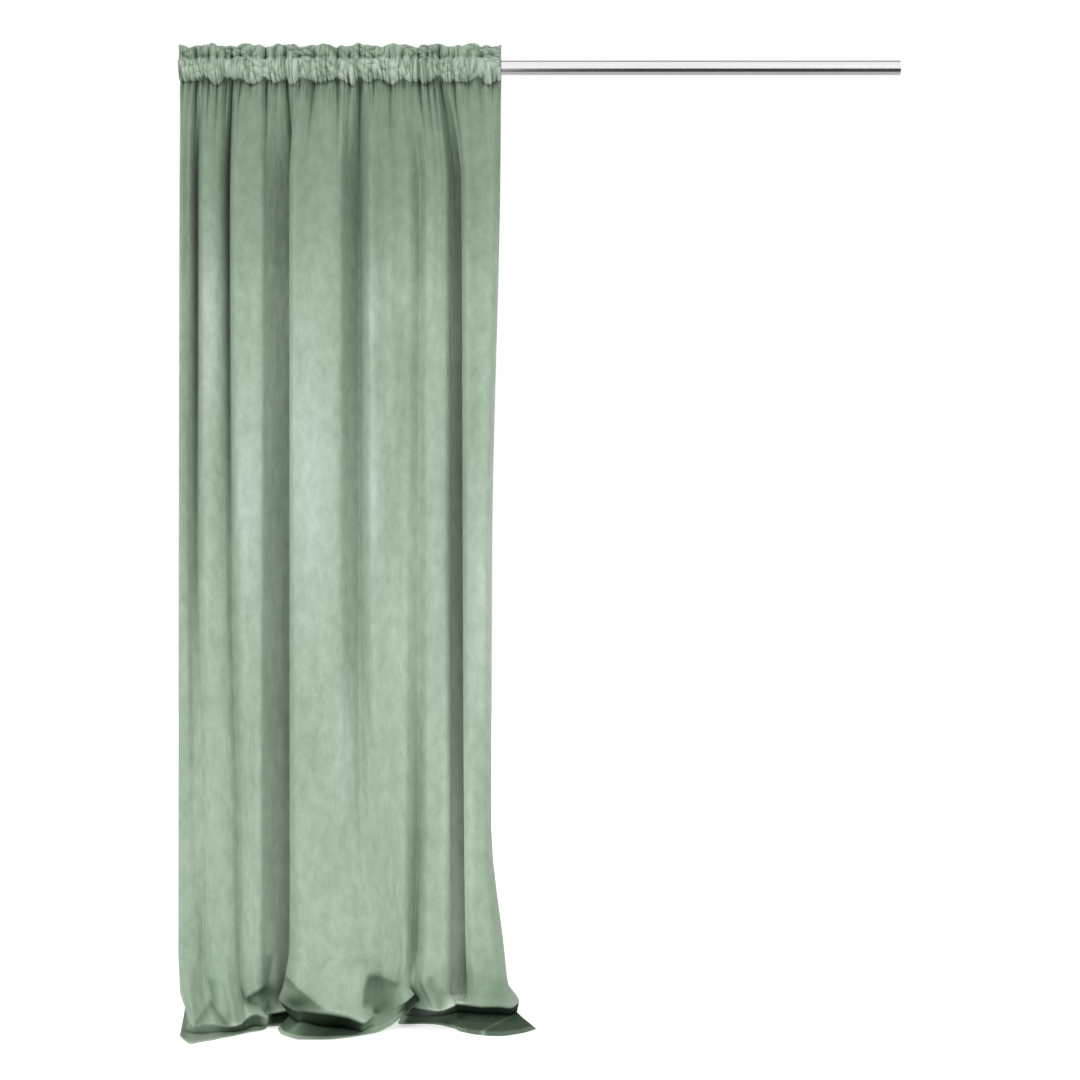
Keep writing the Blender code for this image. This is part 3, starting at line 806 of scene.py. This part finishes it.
def flat_places(at, points):
    """Where each point lies on the flat cloth, across and down, in metres."""
    steps = np.linalg.norm(np.diff(points, axis=0), axis=2).mean(axis=1)
    down = np.concatenate([[0], np.cumsum(steps)])
    return np.stack(np.broadcast_arrays(at[None, :], down[:, None]), axis=-1)


def cloth_rows():
    """The cloth's middle as rows of X, Y, Z, its flat places, its nap and painted light, and the
    heading's rows.
    """
    at = np.linspace(0, FLAT_WIDTH, COLUMNS)
    heading = heading_rows(at)
    top = len(heading)
    rows = np.array(heading + hanging_rows(at, heading[-1]))
    places = np.concatenate([np.zeros(top), body_places()])
    hanging = np.arange(len(rows))[:, None] >= top
    folds = gather_folds(rows)
    share = gather_share(rows, hanging)
    rows[..., 1] += GATHER_DEEP * (folds - GATHER_MIDDLE) * share
    crumples = crumpled(rows)
    rows[..., 1] += CRUMPLE_DEEP * (crumples - CRUMPLE_MIDDLE) * (~hanging)
    height = rows[..., 2] - POCKET_UP
    draw_lips(rows, folds, height)
    above_knee = np.clip((KNEE_PLACE - places) / CREASE_FADE, 0, 1)[:, None]
    placed, light = placed_creases(rows)
    rows[..., 1] += placed * above_knee
    rows = clear_of_rod(rows, top // 2)
    x = LEFT_EDGE_X + rows[..., 0]
    y = ROD_Y - rows[..., 1]
    points = np.stack([x, y, np.maximum(rows[..., 2], FLOOR_CLEAR)], axis=-1)
    # Painted shade and light: the hem's hollows and rims, the pocket lit and the ruffle shaded
    tones = body_tones(at, places, rows)
    tones[:top] = heading_tones(height[:top])
    # Painted shade in the creases of the gathers, the heading and the break
    tones *= 1 - GATHER_DARK * share * np.exp(-folds / GATHER_LINE)
    tones *= 1 - CRUMPLE_DARK * np.exp(-crumples / CRUMPLE_LINE) * (~hanging)
    tones *= 1 + (light - 1) * above_knee
    # Painted sheen on the folds, and painted highlights on the crests of the heading's gathers
    silver = silver_sheen_patches(rows)
    silver[:top] = (HEADING_SHEEN * share * np.clip(folds - SILVER_FROM, 0, 1))[:top]
    nap_and_painted_light = np.stack([tones, silver, tones**GREEN_STAYS, np.ones_like(tones)], axis=-1)
    return points, flat_places(at, points), nap_and_painted_light, top


def grid_object(name, points, flat, nap_and_painted_light):
    """A sheet with one vertex per grid point, its flat coordinates as its UV map and its nap and painted
    light.
    """
    rows, columns = points.shape[:2]
    index = np.arange(rows * columns).reshape(rows, columns)
    corners = (index[:-1, :-1], index[1:, :-1], index[1:, 1:], index[:-1, 1:])
    faces = np.stack([corner.ravel() for corner in corners], axis=1)
    mesh = bpy.data.meshes.new(name)
    mesh.from_pydata(points.reshape(-1, 3).tolist(), [], faces.tolist())
    uv = mesh.uv_layers.new(name="flat_cloth")
    places = flat.reshape(-1, 2)[faces.ravel()]
    uv.data.foreach_set("uv", places.astype(np.float32).ravel())
    tones = mesh.attributes.new("nap_and_painted_light", "FLOAT_COLOR", "POINT")
    tones.data.foreach_set("color", nap_and_painted_light.astype(np.float32).ravel())
    mesh.shade_smooth()
    mesh.update()
    obj = bpy.data.objects.new(name, mesh)
    bpy.context.scene.collection.objects.link(obj)
    return obj


def node(tree, kind, **values):
    """A shader node with its settings and the values of its inputs."""
    made = tree.nodes.new(kind)
    for key, value in values.items():
        if key in made.inputs:
            made.inputs[key].default_value = value
        else:
            setattr(made, key, value)
    return made


def new_material(name):
    """A new material, its node tree and its Principled shader."""
    made = bpy.data.materials.new(name)
    made.use_nodes = True
    return made, made.node_tree, made.node_tree.nodes["Principled BSDF"]


def flat_texture(tree, scale):
    """The cloth's flat coordinates stretched to a scale across and down."""
    uv = node(tree, "ShaderNodeUVMap", uv_map="flat_cloth")
    mapping = node(tree, "ShaderNodeMapping")
    mapping.inputs["Scale"].default_value = (scale[0], scale[1], 1)
    tree.links.new(uv.outputs["UV"], mapping.inputs["Vector"])
    return mapping.outputs["Vector"]


def noise(tree, where, scale, detail, rough):
    """A noise pattern read at the coordinates given."""
    made = node(tree, "ShaderNodeTexNoise", Scale=scale, Detail=detail, Roughness=rough)
    tree.links.new(where, made.inputs["Vector"])
    return made.outputs["Fac"]


def ramp(tree, fac, stops):
    """Colours read off a pattern, from pairs of a place in it and a colour."""
    made = node(tree, "ShaderNodeValToRGB")
    made.color_ramp.elements[0].position = stops[0][0]
    made.color_ramp.elements[0].color = stops[0][1]
    made.color_ramp.elements[1].position = stops[-1][0]
    made.color_ramp.elements[1].color = stops[-1][1]
    for place, colour in stops[1:-1]:
        made.color_ramp.elements.new(place).color = colour
    tree.links.new(fac, made.inputs["Fac"])
    return made.outputs["Color"]


def mix(tree, kind, share, first, second):
    """Two colours mixed in the way and the share given."""
    made = node(tree, "ShaderNodeMix", data_type="RGBA", blend_type=kind)
    made.inputs["Factor"].default_value = share
    tree.links.new(first, made.inputs["A"])
    tree.links.new(second, made.inputs["B"])
    return made.outputs["Result"]


def bump(tree, height, strength, distance, before=None):
    """A pattern turned into relief, on top of the relief before it."""
    made = node(tree, "ShaderNodeBump", Strength=strength, Distance=distance)
    tree.links.new(height, made.inputs["Height"])
    if before:
        tree.links.new(before, made.inputs["Normal"])
    return made.outputs["Normal"]


def read_nap_and_painted_light(tree):
    """The painted nap, shade and light: red is its tone, green its painted sheen, and blue the tone of
    its green.
    """
    nap_and_painted_light = node(tree, "ShaderNodeAttribute", attribute_name="nap_and_painted_light")
    channels = node(tree, "ShaderNodeSeparateColor")
    tree.links.new(nap_and_painted_light.outputs["Color"], channels.inputs["Color"])
    return channels.outputs


def velvet_colour(tree, patches, pile, nap_and_painted_light):
    """Sage in soft brushed patches, with painted sheen and painted shade and light, and mottled."""
    brushed = noise(tree, flat_texture(tree, (1, 0.22)), scale=9, detail=5, rough=0.62)
    plain = ramp(tree, brushed, SAGE_TONES)
    silver = node(tree, "ShaderNodeRGB")
    silver.outputs[0].default_value = SILVER_SAGE
    turned = node(tree, "ShaderNodeMix", data_type="RGBA")
    tree.links.new(nap_and_painted_light["Green"], turned.inputs["Factor"])
    tree.links.new(plain, turned.inputs["A"])
    tree.links.new(silver.outputs[0], turned.inputs["B"])
    tone = node(tree, "ShaderNodeCombineColor")
    tree.links.new(nap_and_painted_light["Red"], tone.inputs["Red"])
    tree.links.new(nap_and_painted_light["Blue"], tone.inputs["Green"])
    tree.links.new(nap_and_painted_light["Red"], tone.inputs["Blue"])
    base = mix(tree, "MULTIPLY", 1.0, turned.outputs["Result"], tone.outputs["Color"])
    mottled = mix(tree, "MULTIPLY", 1.0, base, ramp(tree, patches, MOTTLE_TONES))
    return mix(tree, "MULTIPLY", 1.0, mottled, ramp(tree, pile, PILE_TONES))


def velvet_sheen(tree, shader, nap_and_painted_light):
    """A sheen on the turned edges of the pile, weaker where it is painted darker, painted shade included.
    """
    sheen = node(tree, "ShaderNodeMath", operation="MULTIPLY", use_clamp=True)
    sheen.inputs[1].default_value = SHEEN_SHARE
    tree.links.new(nap_and_painted_light["Red"], sheen.inputs[0])
    tree.links.new(sheen.outputs["Value"], shader.inputs["Sheen Weight"])
    shader.inputs["Sheen Roughness"].default_value = 0.40
    shader.inputs["Sheen Tint"].default_value = SHEEN_TINT


def velvet_relief(tree, patches, pile):
    """Fine creases, soft patches and the pile, raised on the cloth."""
    creases = noise(tree, flat_texture(tree, (1, 0.35)), scale=30, detail=2, rough=0.5)
    normal = bump(tree, creases, strength=0.5, distance=0.010)
    normal = bump(tree, patches, strength=0.35, distance=0.004, before=normal)
    return bump(tree, pile, strength=0.30, distance=0.0006, before=normal)


def velvet_material():
    """Sage velvet: brushed nap with painted shade, light and sheen, fine creases, pile and a sheen on its
    edges.
    """
    made, tree, shader = new_material("sage_velvet_pile")
    patches = noise(tree, flat_texture(tree, (1, 0.55)), scale=38, detail=6, rough=0.7)
    pile = noise(tree, flat_texture(tree, (1, 1)), scale=520, detail=3, rough=0.6)
    nap_and_painted_light = read_nap_and_painted_light(tree)
    tree.links.new(velvet_colour(tree, patches, pile, nap_and_painted_light), shader.inputs["Base Color"])
    shader.inputs["Roughness"].default_value = 0.62
    shader.inputs["Specular IOR Level"].default_value = 0.25
    velvet_sheen(tree, shader, nap_and_painted_light)
    tree.links.new(velvet_relief(tree, patches, pile), shader.inputs["Normal"])
    return made


def back_material():
    """The velvet's woven back: flat, duller and a little greyer, with its fine weave."""
    made, tree, shader = new_material("velvet_woven_back")
    brushed = noise(tree, flat_texture(tree, (1, 0.4)), scale=12, detail=4, rough=0.6)
    base = ramp(tree, brushed, BACK_TONES)
    # The woven back takes part of the front's painted shade and light
    base = mix(tree, "MULTIPLY", BACK_SHADE, base, read_nap_and_painted_light(tree)["Red"])
    tree.links.new(base, shader.inputs["Base Color"])
    shader.inputs["Roughness"].default_value = 0.95
    shader.inputs["Specular IOR Level"].default_value = 0.1
    across = node(tree, "ShaderNodeTexWave", Scale=160, Distortion=0.6)
    across.bands_direction = "X"
    down = node(tree, "ShaderNodeTexWave", Scale=160, Distortion=0.6)
    down.bands_direction = "Y"
    where = flat_texture(tree, (1, 1))
    tree.links.new(where, across.inputs["Vector"])
    tree.links.new(where, down.inputs["Vector"])
    both = mix(tree, "MULTIPLY", 1.0, across.outputs["Color"], down.outputs["Color"])
    tree.links.new(bump(tree, both, strength=0.3, distance=0.0005), shader.inputs["Normal"])
    return made


def steel_material():
    """Polished steel with faint drawn lines along the rod."""
    made, tree, shader = new_material("polished_rod_steel")
    place = node(tree, "ShaderNodeTexCoord")
    mapping = node(tree, "ShaderNodeMapping")
    mapping.inputs["Scale"].default_value = (3, 900, 900)
    tree.links.new(place.outputs["Object"], mapping.inputs["Vector"])
    lines = noise(tree, mapping.outputs["Vector"], scale=1.0, detail=3, rough=0.6)
    rough = ramp(tree, lines, STEEL_ROUGH)
    tree.links.new(rough, shader.inputs["Roughness"])
    tone = ramp(tree, lines, STEEL_TONES)
    tree.links.new(tone, shader.inputs["Base Color"])
    shader.inputs["Metallic"].default_value = 1
    return made


def cloth_piece(name, stretch, pile, back):
    """A stretch of the cloth, velvet in front and its woven back behind."""
    obj = grid_object(name, *stretch)
    obj.data.materials.append(pile)
    obj.data.materials.append(back)
    thick = obj.modifiers.new("cloth_thickness", "SOLIDIFY")
    thick.thickness = CLOTH_THICKNESS
    thick.offset = 0
    thick.material_offset = 1
    thick.material_offset_rim = 0
    even = obj.modifiers.new("even_normals", "WEIGHTED_NORMAL")
    even.weight = 100
    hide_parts("drape_panel")
    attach(obj, "root")
    return obj


def build_cloth():
    """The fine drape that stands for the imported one, from its gathered heading to its pooled hem."""
    points, flat, nap_and_painted_light, heading = cloth_rows()
    pile = velvet_material()
    back = back_material()
    grids = (points, flat, nap_and_painted_light)
    folds_end = heading + BODY_ROWS
    knee = folds_end + BREAK_ROWS
    top = cloth_piece("gathered_heading", [grid[:heading] for grid in grids], pile, back)
    broken = cloth_piece("broken_folds", [grid[folds_end - 1:knee] for grid in grids], pile, back)
    hem = cloth_piece("pooled_hem", [grid[knee - 1:] for grid in grids], pile, back)
    drape = cloth_piece("velvet_drape", [grid[heading - 1:folds_end] for grid in grids], pile, back)


def finish_rod():
    """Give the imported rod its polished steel."""
    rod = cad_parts["rod"]
    steel = steel_material()
    for slot in rod.material_slots:
        slot.material = steel


def build_floor():
    """A pale floor that glows a little, so that it is as white as the ground in the photograph."""
    mesh = bpy.data.meshes.new("floor")
    reach = FLOOR_REACH
    corners = [(-reach, -reach, 0), (reach, -reach, 0), (reach, reach, 0), (-reach, reach, 0)]
    mesh.from_pydata(corners, [], [(0, 1, 2, 3)])
    floor = bpy.data.objects.new("floor", mesh)
    bpy.context.scene.collection.objects.link(floor)
    made, _, shader = new_material("pale_floor")
    shader.inputs["Base Color"].default_value = (0.95, 0.95, 0.95, 1)
    shader.inputs["Roughness"].default_value = 0.9
    shader.inputs["Specular IOR Level"].default_value = 0
    shader.inputs["Emission Color"].default_value = (1, 1, 1, 1)
    shader.inputs["Emission Strength"].default_value = FLOOR_GLOW
    mesh.materials.append(made)


def mirror_card(name, near, far, up, glow):
    """A level card that only the polished rod mirrors, as one band along it."""
    mesh = bpy.data.meshes.new(name)
    left, right = CARD_ACROSS
    corners = [(left, near, up), (right, near, up), (right, far, up), (left, far, up)]
    mesh.from_pydata(corners, [], [(0, 1, 2, 3)])
    card = bpy.data.objects.new(name, mesh)
    bpy.context.scene.collection.objects.link(card)
    made, _, shader = new_material(name)
    shader.inputs["Base Color"].default_value = (0, 0, 0, 1)
    shader.inputs["Specular IOR Level"].default_value = 0
    shader.inputs["Emission Color"].default_value = (1, 1, 1, 1)
    shader.inputs["Emission Strength"].default_value = glow
    mesh.materials.append(made)
    card.visible_camera = False
    card.visible_diffuse = False
    card.visible_shadow = False


def build_mirror_cards():
    """What the rod mirrors: a dark strip in front, a grey one below it and one above and behind."""
    mirror_card("dark_card", near=-0.45, far=-7.3, up=0.02, glow=0.05)
    mirror_card("grey_card", near=-0.45, far=8.9, up=0.02, glow=0.50)
    mirror_card("high_card", near=0.30, far=5.0, up=3.40, glow=0.22)


def sun(name, towards, strength, width):
    """A far soft light that comes from the direction given."""
    light = bpy.data.lights.new(name, "SUN")
    light.energy = strength
    light.angle = width
    obj = bpy.data.objects.new(name, light)
    obj.rotation_euler = Vector(towards).to_track_quat("Z", "Y").to_euler()
    bpy.context.scene.collection.objects.link(obj)


def light_scene():
    """A soft white room with a key light from the left and a weaker one from the right."""
    world = bpy.data.worlds.new("studio")
    bpy.context.scene.world = world
    world.use_nodes = True
    tree = world.node_tree
    seen = tree.nodes["Background"]
    seen.inputs["Color"].default_value = (1, 1, 1, 1)
    seen.inputs["Strength"].default_value = 1.0
    lit = node(tree, "ShaderNodeBackground", Strength=WORLD_LIGHT)
    lit.inputs["Color"].default_value = (1, 1, 1, 1)
    rays = node(tree, "ShaderNodeLightPath")
    both = node(tree, "ShaderNodeMixShader")
    plain = node(tree, "ShaderNodeMath", operation="MAXIMUM")
    tree.links.new(rays.outputs["Is Camera Ray"], plain.inputs[0])
    tree.links.new(rays.outputs["Is Glossy Ray"], plain.inputs[1])
    tree.links.new(plain.outputs["Value"], both.inputs["Fac"])
    tree.links.new(lit.outputs["Background"], both.inputs[1])
    tree.links.new(seen.outputs["Background"], both.inputs[2])
    tree.links.new(both.outputs["Shader"], tree.nodes["World Output"].inputs["Surface"])
    sun("key", towards=(-0.55, -0.75, 0.72), strength=KEY_SUN, width=0.45)
    sun("fill", towards=(0.80, -0.95, 0.45), strength=FILL_SUN, width=0.9)


def place_camera():
    """Look level along +Y at the scale that the photograph has at the rod."""
    data = bpy.data.cameras.new("camera")
    camera = bpy.data.objects.new("camera", data)
    data.sensor_width = SENSOR_MM
    data.lens = SENSOR_MM * CAMERA_AWAY / (PIXELS_ACROSS * METRES_PER_PIXEL)
    camera.location = (CAMERA_X, ROD_Y - CAMERA_AWAY, CAMERA_UP)
    camera.rotation_euler = (math.pi / 2, 0, 0)
    bpy.context.scene.collection.objects.link(camera)
    bpy.context.scene.camera = camera


def set_view():
    """Show colours plainly, with no look or exposure added."""
    view = bpy.context.scene.view_settings
    view.view_transform = "Standard"
    view.look = "None"
    view.exposure = 0
    view.gamma = 1


build_cloth()
finish_rod()
build_floor()
build_mirror_cards()
light_scene()
place_camera()
set_view()
